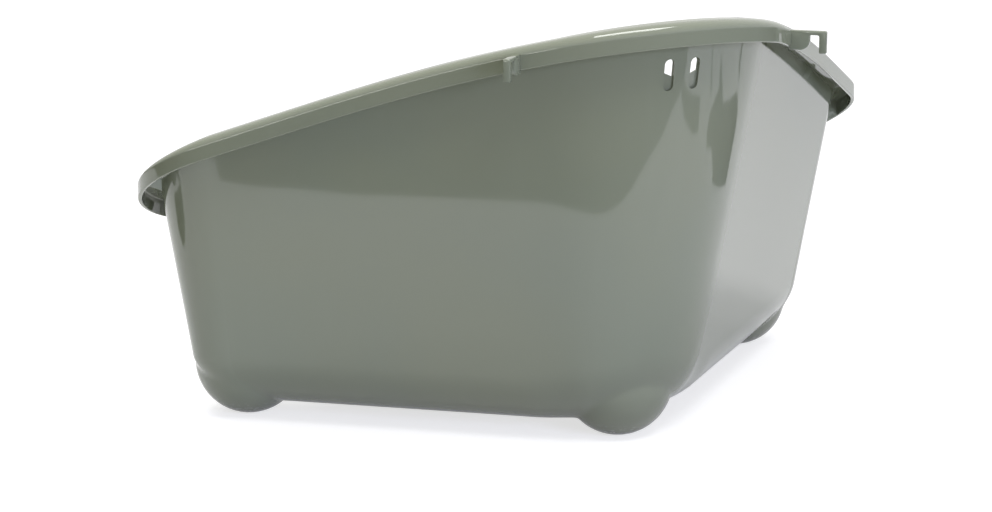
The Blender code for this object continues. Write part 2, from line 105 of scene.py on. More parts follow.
class TraySizes(bpy.types.PropertyGroup):
    """Sizes of the tray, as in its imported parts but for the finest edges."""

    width: length("Width", "Across the two tips", 0.350)
    depth: length("Depth", "From the low front to the back corner", 0.205)
    height: length("Height", "Of the rim at the back corner", RIM_TOP)
    front_height: length("Front height", "Of the rim at the front", 0.0895)
    corner_radius: length("Corner radius", "Of the rim's back corner, seen from above", 0.078)
    tip_radius: length("Tip radius", "Of the rim's two tips, seen from above", 0.0445)
    rim_width: length("Rim width", "From the skirt's face to the wall's face", 0.0091)
    rim_rounding: length("Rim rounding", "Height over which the rim's top curves down", 0.0033)
    rim_crown: length("Rim crown", "Width over which the rim's top curves down", 0.0062)
    inner_rounding: length("Inner rounding", "Of the flange's inner edge", 0.0012)
    flange: length("Flange thickness", "Of the flange", 0.0020)
    skirt_height: length("Skirt height", "Of the turned-down edge", 0.0093)
    skirt: length("Skirt thickness", "Of the turned-down edge", 0.0017)
    seat_depth: length("Seat depth", "Of the web between wall and flange, from the top", 0.0060)
    seat_ledge: length("Seat ledge", "Width of the web under the flange", 0.0034)
    wall: length("Wall thickness", "Of walls and floor", 0.0020)
    floor_clearance: length("Floor clearance", "From the ground to the floor's underside", 0.0058)
    leg_draft: angle("Leg draft", "Lean of the two back walls", 10.1)
    front_draft: angle("Front draft", "Lean of the front wall", 8.6)
    cove_radius: length("Cove radius", "Between floor and walls", 0.0300)
    cove_bend: length("Cove at the bends", "Radius where the back corner starts", 0.0355)
    cove_corner: share("Cove at the corner", "Share of the room in the back corner", 0.951)
    cove_easing: length("Cove easing", "Length over which the cove grows", 0.0180)
    cove_tip: length("Cove at the tips", "Rounding of the flat floor's tips", 0.0040)
    cove_tip_share: share("Cove height at the tips", "Share of the cove's full height", 0.88)
    foot_radius: length("Foot radius", "Of the three ball feet", 0.0236)
    foot_wall: length("Foot wall", "Thickness of the feet's shells", 0.0020)
    foot_stretch: number("Foot stretch", "Height of a foot's upper half over its radius", 1.5)
    foot_pad: length("Foot pad", "Depth of the flat under each foot", 0.0005)
    back_foot_out: length("Back foot", "From the corner arc's centre outwards", 0.0145)
    tip_foot_in: length("Tip foot, inwards", "From the tip arc's centre", 0.0055)
    tip_foot_forward: length("Tip foot, forwards", "From the tip arc's centre", 0.0090)
    slot_spacing: length("Slot spacing", "Between the middles of the two slots", 0.0116)
    slot_width: length("Slot width", "Of each slot", 0.0044)
    slot_length: length("Slot length", "Of each slot", 0.0134)
    slot_below_rim: length("Slot below rim", "From the rim's top to a slot's upper end", 0.0158)
    slot_recess: length("Slot recess", "Depth of the sunk part of a slot", 0.0013)
    slot_ledge: length("Slot ledge", "Between a slot's recess and its opening", 0.0002)
    slot_open_outer: length("Slot opening, outer", "Length of the opening's short side", 0.0060)
    slot_open_inner: length("Slot opening, inner", "Length of the opening's long side", 0.0078)
    hook_from_middle: length("Hook place", "From the middle of the tray, across", 0.0648)
    hook_reach: length("Hook reach", "Out from the skirt", 0.0148)
    hook_thickness: length("Hook thickness", "Of the hook's plate", 0.0029)
    hook_below_rim: length("Hook below rim", "Of the hook's top", 0.0021)
    hook_top: length("Hook bar", "Thickness of the bar over the wire", 0.0018)
    hook_lip: length("Hook lip", "Thickness of the outer lip", 0.0031)
    hook_drop: length("Hook drop", "Height of the lip", 0.0094)
    hook_wire_gap: length("Hook gap", "Room for a cage wire", 0.0040)
    hook_web: length("Hook web", "Height of the web against the skirt", 0.0082)
    hook_web_rounding: length("Hook web rounding", "Under the web", 0.0040)
    hook_rounding: length("Hook rounding", "Of the bar's corners", 0.0008)
    hook_edge: length("Hook edge", "Softening of the hook's edges", 0.0005)
    rib_thickness: length("Rib thickness", "Of the ribs under the flange", 0.0016)
    rib_edge: length("Rib edge", "Softening of the ribs' edges", 0.0002)
    rib_skirt_depth: length("Rib depth at the skirt", "From the rim's top", 0.0086)
    leg_rib_place: length("Leg rib place", "Before the tip arc, along the leg", 0.0215)
    leg_rib_reach: length("Leg rib reach", "Inwards from the skirt's face", 0.0042)
    leg_rib_depth: length("Leg rib depth", "From the rim's top", 0.0095)
    tip_rib_angle: angle("Tip rib angle", "Round the tip arc from straight across", 1.5)
    tip_rib_reach: length("Tip rib reach", "Inwards from the skirt's face", 0.0072)
    tip_rib_depth: length("Tip rib depth", "From the rim's top", 0.0115)


class TrayFinish(bpy.types.PropertyGroup):
    """Colours and surface of the moulded plastic."""

    plastic: colour("Plastic", "Grey-green body colour", (0.156, 0.170, 0.117))
    shade: colour("Deep tone", "Cooler tone that drifts through the plastic", (0.148, 0.166, 0.119))
    dust: colour("Dust", "Fine dust specks, flow marks and scuffs", (0.42, 0.41, 0.38))
    roughness: share("Roughness", "Of the clean moulded face", 0.045)
    worn: share("Worn roughness", "Of the scuffs low on the feet", 0.34)


class StageLook(bpy.types.PropertyGroup):
    """Floor, lamps and camera."""

    floor: colour("Floor", "Pale floor", (0.66, 0.66, 0.66))
    floor_grain: colour("Floor grain", "Second tone of the floor", (0.69, 0.69, 0.69))
    azimuth: angle("Camera azimuth", "Round the tray", 152.4816)
    elevation: angle("Camera elevation", "Above the floor", 13.0520)
    roll: angle("Camera roll", "About its own axis", -0.1713)
    distance: length("Camera distance", "From the tray's middle", 1.30601)
    aside: length("Camera aside", "To the right of the tray's middle", -0.033616)
    lift: length("Camera lift", "Above the tray's middle", -0.020290)
    lens: number("Lens", "Focal length in millimetres", 109.510)
    floor_glow: share("Floor glow", "Share of the floor that glows for the camera", 0.345)
    floor_gloss: share("Floor in gloss", "Share that glows in the tray's gloss", 0.145)
    floor_light: number("Floor light", "Strength of the floor's glow", 2.0)
    ambient: share("Ambient", "Strength of the room's soft light", 0.455)
    lamp_power: number("Lamp power", "Power of all lamps together", 1.06)


# ---- Shape of the tray --------------------------------------------------------------------------

# The rim's fall from the back corner to the front, as the control shares of one smooth curve.
RIM_FALL_SHARES = (0, 0.12, 0.245, 0.61, 0.69, 1)
# Steps round half the outline, and up the section.
CORNER_STEPS, LEG_STEPS, TIP_STEPS, FRONT_STEPS = 48, 64, 72, 24
COVE_STEPS, WALL_STEPS, WEB_STEPS, CROWN_STEPS = 40, 9, 8, 16
# How closely steps crowd at both ends of a leg, and at the start of the front.
END_CROWDING, START_CROWDING = 0.8, 1.6
# The flat floor's rings, as shares of the way from its edge to their middle, and how far that
# middle lies before the tray's own, as a share of the depth.
FLOOR_SHARES = (0.97, 0.8, 0.6, 0.42, 0.28, 0.19, 0.13, 0.095, 0.07, 0.05, 0.035, 0.02, 0.01)
FLOOR_MIDDLE = 0.19
# Height of the wall's lower half of rings.
LOW_WALL = 0.026
# How far the web under the flange is straightened out, from a sharp corner at 0.
WEB_BEND = 0.35
SKIRT_ROOT_ROUNDING, SKIRT_INNER_ROUNDING, SKIRT_OUTER_ROUNDING = 0.0008, 0.0004, 0.0006
# Flat strip beside a rounding, which keeps its shading in place.
EDGE_SUPPORT = 0.0012
# The soft join between a foot and the wall, from low on the foot to its upper end, and the
# slopes of the foot between which it grows.
FOOT_BLEND_LOW, FOOT_BLEND_HIGH = 0.0012, 0.0016
FOOT_BLEND_FROM, FOOT_BLEND_SPAN = -0.45, 1.1
# A point that a foot moves further than this belongs to the foot.
FOOT_TOUCH = 1e-6
# The gentler shading where the back corner meets the walls: columns each way, the height at
# which it starts, its passes and the share that each takes from the neighbours.
BEND_REACH, BEND_LOW, BEND_PASSES, BEND_SHARE = 30, 0.03, 120, 0.25
TINY = 1e-12


def ease(t):
    """A share that starts and ends gently, from 0 to 1."""
    t = min(max(t, 0.0), 1.0)
    return t * t * (3 - 2 * t)


def crowded_ends(t):
    """Steps from 0 to 1 that lie closer at both ends."""
    return t - END_CROWDING * math.sin(2 * math.pi * t) / (2 * math.pi)


def crowded_start(t):
    """Steps from 0 to 1 that lie closer at the start."""
    return t ** START_CROWDING


def fillet(corner, before, after, radius, steps):
    """Points of a rounded corner between two directions that leave it."""
    before, after = before.normalized(), after.normalized()
    half = before.angle(after) / 2
    run = radius / math.tan(half)
    centre = corner + (before + after).normalized() * radius / math.sin(half)
    start = corner + before * run - centre
    end = corner + after * run - centre
    sweep = start.angle(end)
    points = []
    for i in range(steps + 1):
        t = i / steps
        points.append(centre + (start * math.sin((1 - t) * sweep) + end * math.sin(t * sweep))
                      / math.sin(sweep))
    return points


def heading(angle):
    """Direction at an angle from +X, seen from above."""
    return Vector((math.cos(angle), math.sin(angle)))


class Station:
    """A place on the rim's outer edge, and the wall below it."""

    def __init__(self, form, place, angle, zone, t):
        self.place, self.angle, self.zone, self.t = place, angle, zone, t
        self.normal = heading(angle)
        self.top = form.rim_top(place.y)
        self.draft = form.draft(angle)


class TrayForm:
    """The tray's outline and sections, worked out from its sizes."""

    def __init__(self, sizes):
        for name in TraySizes.__annotations__:
            setattr(self, name, getattr(sizes, name))
        self.back, self.front = self.depth / 2, -self.depth / 2
        self.tip_centre = Vector((self.width / 2 - self.tip_radius, self.front + self.tip_radius))
        self.corner_centre = Vector((0, self.back - self.corner_radius))
        across = self.width / 2 - self.tip_radius
        along = self.depth - self.corner_radius - self.tip_radius
        spread = self.corner_radius - self.tip_radius
        self.leg_angle = (math.acos(spread / math.hypot(across, along))
                          - math.atan2(along, across))
        self.leg_start = self.corner_centre + self.corner_radius * heading(self.leg_angle)
        self.leg_end = self.tip_centre + self.tip_radius * heading(self.leg_angle)
        self.leg_way = (self.leg_end - self.leg_start).normalized()
        self.leg_length = (self.leg_end - self.leg_start).length

    def rim_top(self, y):
        """Height of the rim's top at a distance from the tray's middle."""
        t = min(max((self.back - y) / self.depth, 0.0), 1.0)
        order = len(RIM_FALL_SHARES) - 1
        fall = sum(math.comb(order, i) * t ** i * (1 - t) ** (order - i) * part
                   for i, part in enumerate(RIM_FALL_SHARES))
        return self.height - (self.height - self.front_height) * fall

    def tip_turn(self, angle):
        """How far an angle is round the tip arc, from 0 at the leg to 1 at the front."""
        return (self.leg_angle - angle) / (self.leg_angle + math.pi / 2)

    def draft(self, angle):
        """Slope of the wall that faces an angle."""
        slope = math.tan(self.leg_draft)
        return slope + (math.tan(self.front_draft) - slope) * ease(self.tip_turn(angle))

    def at_leg(self, before_tip):
        """The station on a leg at a distance before its tip arc."""
        return Station(self, self.leg_end - before_tip * self.leg_way, self.leg_angle, "leg",
                       1 - before_tip / self.leg_length)

    def at_tip(self, angle):
        """The station on the tip arc at an angle."""
        place = self.tip_centre + self.tip_radius * heading(angle)
        return Station(self, place, angle, "tip", self.tip_turn(angle))

    def half_outline(self):
        """Stations of the +X half, from the back corner's middle to the front's."""
        stations = []
        for i in range(CORNER_STEPS + 1):
            t = i / CORNER_STEPS
            angle = math.pi / 2 + (self.leg_angle - math.pi / 2) * t
            place = self.corner_centre + self.corner_radius * heading(angle)
            stations.append(Station(self, place, angle, "corner", t))
        for i in range(1, LEG_STEPS):
            stations.append(self.at_leg(self.leg_length * (1 - crowded_ends(i / LEG_STEPS))))
        for i in range(TIP_STEPS + 1):
            angle = self.leg_angle - (self.leg_angle + math.pi / 2) * i / TIP_STEPS
            stations.append(self.at_tip(angle))
        for i in range(1, FRONT_STEPS + 1):
            t = crowded_start(i / FRONT_STEPS)
            place = Vector((self.tip_centre.x * (1 - t), self.front))
            stations.append(Station(self, place, -math.pi / 2, "front", t))
        return stations

    def section_point(self, item, out, down):
        """A point by its distances out from the rim's edge and down from its top."""
        place = item.place + item.normal * out
        return Vector((place.x, place.y, item.top - down))

    def wall_point(self, item, height, inset):
        """A point of the leaning wall at a height, inset from the wall's outer face."""
        out = -self.rim_width - item.draft * (item.top - height) - inset
        return self.section_point(item, out, item.top - height)

    def cove_turn(self, item):
        """Angle through which the cove turns from floor to wall."""
        return math.pi / 2 - math.atan(item.draft)

    def cove_size(self, item):
        """Radius of the cove, which grows towards the back corner."""
        if item.zone in ("tip", "front"):
            return self.cove_radius
        slope = math.tan(self.leg_draft)
        room = (self.corner_radius - self.rim_width
                - slope * (self.height - self.floor_clearance))
        largest = self.cove_corner * room / math.tan((math.pi / 2 - self.leg_draft) / 2)
        past = abs(item.place.x) - self.leg_start.x
        radius = self.cove_radius + (self.cove_bend - self.cove_radius) * ease(
            1 - past / self.cove_easing)
        bend = ease((item.angle - self.leg_angle) / (math.pi / 2 - self.leg_angle))
        return radius + (largest - self.cove_bend) * bend

    def cove_run(self, item):
        """How far the cove takes in of the floor."""
        return self.cove_size(item) * math.tan(self.cove_turn(item) / 2)

    def cove_rise(self, item, grow):
        """How far up the wall the cove reaches."""
        turn = self.cove_turn(item)
        full = (self.cove_run(item) + grow * math.tan(turn / 2)) * math.sin(turn)
        if item.zone in ("corner", "leg"):
            return full
        swing = math.cos(math.pi * self.tip_turn(item.angle)) ** 2
        return full * (self.cove_tip_share + (1 - self.cove_tip_share) * swing)

    def floor_edge(self, item):
        """Where the flat floor turns up into the cove."""
        def corner_of(station):
            return self.wall_point(station, self.floor_clearance, 0).to_2d()

        first = Station(self, self.leg_start, self.leg_angle, "corner", 1)
        last = self.at_tip(self.leg_angle)
        run = self.cove_run(last)
        start, end = corner_of(first), corner_of(last)
        along = (end - start).normalized()
        normal = Vector((-along.y, along.x))
        front_level = corner_of(self.at_tip(-math.pi / 2)).y + run + self.cove_tip
        origin = start - normal * (run + self.cove_tip)
        centre = origin + along * (front_level - origin.y) / along.y
        if item.zone == "corner":
            return corner_of(item) - item.normal * self.cove_run(item)
        if item.zone == "leg":
            place = (origin + normal * self.cove_tip).lerp(centre + normal * self.cove_tip, item.t)
            return place - normal * (self.cove_run(item) - run)
        if item.zone == "tip":
            first_angle = math.atan2(normal.y, normal.x)
            turned = first_angle + (-math.pi / 2 - first_angle) * item.t
            return centre + heading(turned) * self.cove_tip
        edge = centre + Vector((0, -self.cove_tip))
        return edge.lerp(Vector((0, front_level - self.cove_tip)), item.t)

    def skin(self, item, edge, grow):
        """Floor, cove and wall of one skin at a station, from the middle of the floor upwards."""
        floor = self.floor_clearance - grow
        middle = Vector((0, -self.depth * FLOOR_MIDDLE))
        points = [Vector((*edge.lerp(middle, part), floor)) for part in FLOOR_SHARES]
        inset = -grow * math.hypot(1, item.draft)
        turn = self.cove_turn(item)
        start = Vector((edge.x, edge.y, floor))
        corner = self.wall_point(item, floor, inset)
        end = self.wall_point(item, floor + self.cove_rise(item, grow), inset)
        for i in range(COVE_STEPS + 1):
            t = i / COVE_STEPS
            shares = ((1 - t) ** 2, 2 * t * (1 - t) * math.cos(turn / 2), t ** 2)
            points.append((start * shares[0] + corner * shares[1] + end * shares[2]) / sum(shares))
        last_down = self.flange if grow < 0 else self.seat_depth
        last = self.wall_point(item, item.top - last_down, inset)
        low_end = end.lerp(last, min(0.5, LOW_WALL / (last.z - end.z)))
        for low, high in ((end, low_end), (low_end, last)):
            points += [low.lerp(high, i / WALL_STEPS) for i in range(1, WALL_STEPS + 1)]
        return points

    def rim_profile(self, item):
        """Rim's section, as out and down, from the wall's outer face over the top to its inner."""
        k = item.draft
        edge = -self.rim_width
        wall = self.wall * math.hypot(1, k)
        web_low = Vector((edge - k * self.seat_depth, self.seat_depth))
        web_top = Vector((edge + self.seat_ledge, self.flange))
        bend = Vector((edge - k * self.flange, self.flange)).lerp((web_low + web_top) / 2, WEB_BEND)
        points = []
        for i in range(1, WEB_STEPS):
            t = i / WEB_STEPS
            points.append(web_low * (1 - t) ** 2 + bend * 2 * t * (1 - t) + web_top * t * t)
        points.append(web_top)
        outwards, inwards, down, up = (Vector(way) for way in ((1, 0), (-1, 0), (0, 1), (0, -1)))
        points += fillet(Vector((-self.skirt, self.flange)), inwards, down,
                         SKIRT_ROOT_ROUNDING, steps=4)
        points += fillet(Vector((-self.skirt, self.skirt_height)), up, outwards,
                         SKIRT_INNER_ROUNDING, steps=3)
        points += fillet(Vector((0, self.skirt_height)), inwards, up,
                         SKIRT_OUTER_ROUNDING, steps=4)
        points.append(Vector((0, self.rim_rounding + EDGE_SUPPORT)))
        for i in range(CROWN_STEPS + 1):
            turned = math.pi / 2 * i / CROWN_STEPS
            points.append(Vector((self.rim_crown * (math.cos(turned) - 1),
                                  self.rim_rounding * (1 - math.sin(turned)))))
        points.append(Vector((-self.rim_crown - EDGE_SUPPORT, 0)))
        inner = edge - wall
        points.append(Vector((inner + self.inner_rounding + EDGE_SUPPORT, 0)))
        points += fillet(Vector((inner, 0)), outwards, Vector((-k, 1)), self.inner_rounding,
                         steps=8)
        return points

    def foot_centres(self):
        """Middles of the three ball feet, by node."""
        height = self.foot_radius - self.foot_pad
        tip = self.tip_centre + Vector((-self.tip_foot_in, -self.tip_foot_forward))
        return {
            "foot_back": Vector((0, self.corner_centre.y + self.back_foot_out, height)),
            "foot_left": Vector((-tip.x, tip.y, height)),
            "foot_right": Vector((tip.x, tip.y, height)),
        }


def swell(points, centre, radius, stretch):
    """Points moved out to a ball round a centre, with a soft join. Returns them and their moves."""
    offset = points - np.array(centre)
    reach = np.linalg.norm(offset, axis=-1)
    ray = offset / reach[..., None]
    upper = np.where(ray[..., 2] > 0, ray[..., 2] / stretch, ray[..., 2])
    ball = radius / np.sqrt(ray[..., 0] ** 2 + ray[..., 1] ** 2 + upper ** 2)
    rise = np.clip((ray[..., 2] - FOOT_BLEND_FROM) / FOOT_BLEND_SPAN, 0, 1)
    blend = FOOT_BLEND_LOW + (FOOT_BLEND_HIGH - FOOT_BLEND_LOW) * rise
    near = np.clip(blend - np.abs(ball - reach), 0, None) / blend
    moved = np.maximum(ball, reach) + near * near * blend / 4 - reach
    return points + ray * moved[..., None], moved


def tray_grid(form):
    """The whole moulding's skin as a grid of points, ring by ring. Also gives which foot each
    point is on, and how many rings the outer skin, the rim and the inner skin have."""
    columns = []
    for item in form.half_outline():
        edge = form.floor_edge(item)
        outer = form.skin(item, edge, 0)
        inner = form.skin(item, edge, -form.wall)
        rim = [form.section_point(item, p.x, p.y) for p in form.rim_profile(item)]
        columns.append([outer, rim, inner[::-1]])
    counts = [len(part) for part in columns[0]]
    flat = np.array([[tuple(p) for part in column for p in part] for column in columns])
    mirror = flat[-2:0:-1].copy()
    mirror[..., 0] *= -1
    grid = np.concatenate([flat, mirror]).transpose(1, 0, 2)
    owner = np.zeros(grid.shape[:2], int)
    outer, inner = slice(0, counts[0]), slice(counts[0] + counts[1], None)
    for number, centre in enumerate(form.foot_centres().values(), 1):
        grid[outer], moved = swell(grid[outer], centre, form.foot_radius, form.foot_stretch)
        owner[outer][moved > FOOT_TOUCH] = number
        grid[inner] = swell(grid[inner], centre, form.foot_radius - form.foot_wall,
                            form.foot_stretch)[0]
    grid[outer][..., 2] = np.maximum(grid[outer][..., 2], 0)
    grid[..., 0] = np.clip(grid[..., 0], CAD_BOX[0].x, CAD_BOX[1].x)
    owner[inner] = owner[outer][::-1]
    return grid, owner, counts


def unit(vectors):
    """The vectors at a length of 1."""
    return vectors / np.maximum(np.linalg.norm(vectors, axis=-1, keepdims=True), TINY)


def grid_normals(grid):
    """Normals of a grid that closes round its columns, weighted by the faces' areas."""
    nxt = np.roll(grid, -1, axis=1)
    face = np.cross(grid[1:] - nxt[:-1], nxt[1:] - grid[:-1])
    normals = np.zeros_like(grid)
    for rows in (slice(0, -1), slice(1, None)):
        normals[rows] += face
        normals[rows] += np.roll(face, 1, axis=1)
    return unit(normals)


def soften_bends(grid, normals):
    """Normals that turn gently where the back corner's arc meets the straight walls."""
    columns = normals.shape[1]
    place = np.arange(columns)
    away = np.minimum(abs(place - CORNER_STEPS), abs(place - (columns - CORNER_STEPS)))
    near = np.clip((BEND_REACH - away) / (BEND_REACH / 2), 0, 1)
    high = np.clip((grid[..., 2] - BEND_LOW) / BEND_LOW, 0, 1)
    taken = (near[None, :] * high)[..., None] * BEND_SHARE
    for _ in range(BEND_PASSES):
        normals = normals + taken * (np.roll(normals, 1, axis=1) + np.roll(normals, -1, axis=1)
                                     - 2 * normals)
    return unit(normals)


def add(name, data):
    """A new object in the scene."""
    item = bpy.data.objects.new(name, data)
    bpy.context.scene.collection.objects.link(item)
    return item


def mesh_from(name, points, faces, normals):
    """A mesh object with smooth faces and a normal for each point."""
    mesh = bpy.data.meshes.new(name)
    mesh.from_pydata(points, [], faces)
    mesh.update()
    mesh.shade_smooth()
    mesh.normals_split_custom_set_from_vertices(normals)
    return add(name, mesh)


def skin_cells(grid, normals, chosen):
    """Chosen cells of the grid, and the sides that close them from one face of the wall to the
    other. Returns points, faces, sides and the points' normals."""
    rows, columns = chosen.shape
    index, points, point_normals = {}, [], []

    def vertex(row, column):
        key = (row, column % columns)
        if key not in index:
            index[key] = len(points)
            points.append(tuple(grid[key]))
            point_normals.append(tuple(normals[key]))
        return index[key]

    faces = []
    for row, column in zip(*np.nonzero(chosen)):
        faces.append((vertex(row, column), vertex(row + 1, column),
                      vertex(row + 1, column + 1), vertex(row, column + 1)))
    edges = dict.fromkeys(edge for face in faces for edge in zip(face, face[1:] + face[:1]))
    keys = list(index)
    sides = []
    for a, b in edges:
        row = keys[a][0]
        if (b, a) in edges or row == 0 or row > rows - row:
            continue
        across = [index.get((rows - keys[v][0], keys[v][1])) for v in (a, b)]
        if None not in across and len({a, b, *across}) == 4:
            sides.append((b, a, *across))
    return points, faces, sides, point_normals


def finish_piece(piece, node, material):
    """A piece that stands in for a node, which it hides, rides on its body and gets this material.
    """
    piece.data.materials.clear()
    piece.data.materials.append(material)
    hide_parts(node)
    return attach(piece, BODY)


# ---- Finish -------------------------------------------------------------------------------------

class Wire:
    """A value, colour or vector in a material, which expressions turn into nodes."""

    def __init__(self, tree, socket):
        self.tree, self.socket = tree, socket

    def node(self, kind, settings=None, **inputs):
        """Any node: its settings first, then its sockets by name, or by number after a _."""
        made = self.tree.nodes.new(kind)
        for name, value in (settings or {}).items():
            setattr(made, name, value)
        for name, value in inputs.items():
            key = int(name[1:]) if name[0] == "_" else name.replace("_", " ")
            target = made.inputs[key]
            if isinstance(value, Wire):
                self.tree.links.new(value.socket, target)
            else:
                target.default_value = value
        return made

    def out(self, made, name=0):
        """A node's output, ready for expressions."""
        return Wire(self.tree, made.outputs[name])

    def place(self):
        """The position on the object, in metres."""
        return self.out(self.node("ShaderNodeTexCoord"), "Object")

    def feed(self, shader, name):
        """Links this value to a shader's socket."""
        self.tree.links.new(self.socket, shader.inputs[name])

    def maths(self, operation, *values):
        """A Math node on values and links."""
        return self.out(self.node("ShaderNodeMath", {"operation": operation},
                                  **{f"_{i}": value for i, value in enumerate(values)}))

    def __add__(self, other):
        return self.maths("ADD", self, other)

    def __radd__(self, other):
        return self.maths("ADD", other, self)

    def __sub__(self, other):
        return self.maths("SUBTRACT", self, other)

    def __rsub__(self, other):
        return self.maths("SUBTRACT", other, self)

    def __mul__(self, other):
        return self.maths("MULTIPLY", self, other)

    def __rmul__(self, other):
        return self.maths("MULTIPLY", other, self)

    def between(self, low, high):
        """0 below low, 1 above high, gentle in between."""
        return self.out(self.node("ShaderNodeMapRange", {"interpolation_type": "SMOOTHSTEP"},
                                  Value=self, From_Min=low, From_Max=high))

    def mix(self, first, second):
        """A colour from first to second as this value goes from 0 to 1."""
        # A Mix node's colours are its sockets 6 and 7, and its output 2.
        first, second = (tone if isinstance(tone, Wire) else (*tone, 1.0)
                         for tone in (first, second))
        made = self.node("ShaderNodeMix", {"data_type": "RGBA"}, _0=self, _6=first, _7=second)
        return self.out(made, 2)

    def noise(self, scale, detail=2.0, stretch=(1, 1, 1)):
        """Noise over this position, with its scale per metre."""
        stretched = self.node("ShaderNodeVectorMath", {"operation": "MULTIPLY"}, _0=self,
                              _1=stretch)
        made = self.node("ShaderNodeTexNoise", None, Vector=self.out(stretched), Scale=scale,
                         Detail=detail)
        return self.out(made, "Fac")


def new_material(name):
    """A material, its principled shader, and a wire to build its nodes with."""
    material = bpy.data.materials.new(name)
    material.use_nodes = True
    tree = material.node_tree
    return material, tree.nodes["Principled BSDF"], Wire(tree, None)


# The plastic's patterns: scale per metre, detail and stretch, and the range of each that shows.
DRIFT, DRIFT_SHOWS, DRIFT_DULLS = (9.0, 3.0), (0.35, 0.7), (0.3, 0.8)
FLOW, FLOW_SHOWS = (60.0, 2.0, (1.0, 1.0, 0.08)), (0.55, 0.9)
FINE = (900.0, 2.0)
SPECKS, SPECKS_SHOW = (2600.0, 1.0), (0.72, 0.8)
PATCHES, PATCHES_SHOW = (40.0, 2.0), (0.45, 0.7)
SCUFFS, SCUFFS_SHOW = (420.0, 4.0, (1.0, 1.0, 2.0)), (0.5, 0.66)
# Heights between which the scuffs on the feet fade out.
SCUFF_HEIGHTS = (0.0005, 0.009)
SPECK_DUST, FLOW_DUST, SCUFF_DUST = 0.10, 0.03, 0.5
DRIFT_DULLNESS, FLOW_DULLNESS, SPECK_DULLNESS = 0.02, 0.015, 0.06
FLOW_RELIEF, FINE_RELIEF, SCUFF_RELIEF = 0.05, 0.007, 0.3
RELIEF_STRENGTH, RELIEF_DEPTH = 0.25, 0.0002
PLASTIC_IOR = 1.55


def plastic(finish, name, wear=0.0):
    """Glossy moulded plastic: drifting tone, faint flow marks, fine dust, scuffs where it wears."""
    material, shader, wire = new_material(name)
    place = wire.place()
    height = wire.out(wire.node("ShaderNodeSeparateXYZ", None, Vector=place), "Z")
    drift, flow, fine = place.noise(*DRIFT), place.noise(*FLOW), place.noise(*FINE)
    tone = drift.between(*DRIFT_SHOWS).mix(finish.plastic, finish.shade)
    specks = (place.noise(*SPECKS).between(*SPECKS_SHOW)
              * place.noise(*PATCHES).between(*PATCHES_SHOW))
    dusted = specks * SPECK_DUST + flow.between(*FLOW_SHOWS) * FLOW_DUST
    tone = dusted.mix(tone, finish.dust)
    low = 1 - height.between(*SCUFF_HEIGHTS)
    scuff = place.noise(*SCUFFS).between(*SCUFFS_SHOW) * low * wear
    tone = (scuff * SCUFF_DUST).mix(tone, finish.dust)
    dull = (finish.roughness + drift.between(*DRIFT_DULLS) * DRIFT_DULLNESS
            + flow * FLOW_DULLNESS + specks * SPECK_DULLNESS)
    rough = dull + scuff * (finish.worn - finish.roughness)
    tone.feed(shader, "Base Color")
    rough.feed(shader, "Roughness")
    shader.inputs["IOR"].default_value = PLASTIC_IOR
    relief = flow * FLOW_RELIEF + fine * FINE_RELIEF + scuff * SCUFF_RELIEF
    bump = wire.node("ShaderNodeBump", None, Strength=RELIEF_STRENGTH, Distance=RELIEF_DEPTH,
                     Height=relief)
    wire.out(bump).feed(shader, "Normal")
    return material


# ---- Pieces -------------------------------------------------------------------------------------

EDGE_TO_SOFTEN = math.radians(35)
EDGE_TO_SHADE_SHARP = math.radians(42)


def arc_points(centre, radius, start, end, steps):
    """Points of an arc from one angle to another."""
    points = []
    for i in range(steps + 1):
        angle = start + (end - start) * i / steps
        points.append((centre[0] + radius * math.cos(angle), centre[1] + radius * math.sin(angle)))
    return points


def plate(name, points, thickness, rounding):
    """A flat plate with softened edges from its outline, centred on its own XY plane."""
    half = thickness / 2
    shape = bmesh.new()
    lower = [shape.verts.new((x, y, -half)) for x, y in points]
    face = shape.faces.new(lower)
    top = bmesh.ops.extrude_face_region(shape, geom=[face])
    raised = [v for v in top["geom"] if isinstance(v, bmesh.types.BMVert)]
    bmesh.ops.translate(shape, verts=raised, vec=(0, 0, thickness))
    bmesh.ops.recalc_face_normals(shape, faces=shape.faces)
    if rounding:
        sharp = [e for e in shape.edges
                 if e.is_manifold and e.calc_face_angle() > EDGE_TO_SOFTEN]
        bmesh.ops.bevel(shape, geom=sharp, offset=rounding, segments=2, profile=0.5,
                        affect="EDGES", clamp_overlap=True)
    mesh = bpy.data.meshes.new(name)
    shape.to_mesh(mesh)
    shape.free()
    mesh.shade_smooth()
    mesh.set_sharp_from_angle(angle=EDGE_TO_SHADE_SHARP)
    return add(name, mesh)


def placed(place, across, up, ahead):
    """Matrix of a piece at a place, from the directions of its X, Y and Z."""
    return Matrix.Translation(place) @ Matrix((across, up, ahead)).transposed().to_4x4()


def across_rim(item, side):
    """Matrix of a plate that stands across the rim: X outward, Y up."""
    outward = Vector((item.normal.x * side, item.normal.y, 0))
    up = Vector((0, 0, 1))
    place = Vector((item.place.x * side, item.place.y, item.top))
    return placed(place, outward, up, outward.cross(up))


# How deep an opening is cut, and how far its cutter stands out of the wall.
CUT_DEPTH = CUT_PAST = 0.010
SLOT_STEPS = 16
# A cut face's corner this near to the old skin, and facing its way, takes its shading.
SKIN_REACH = 1e-5
SKIN_FACING = 0.7


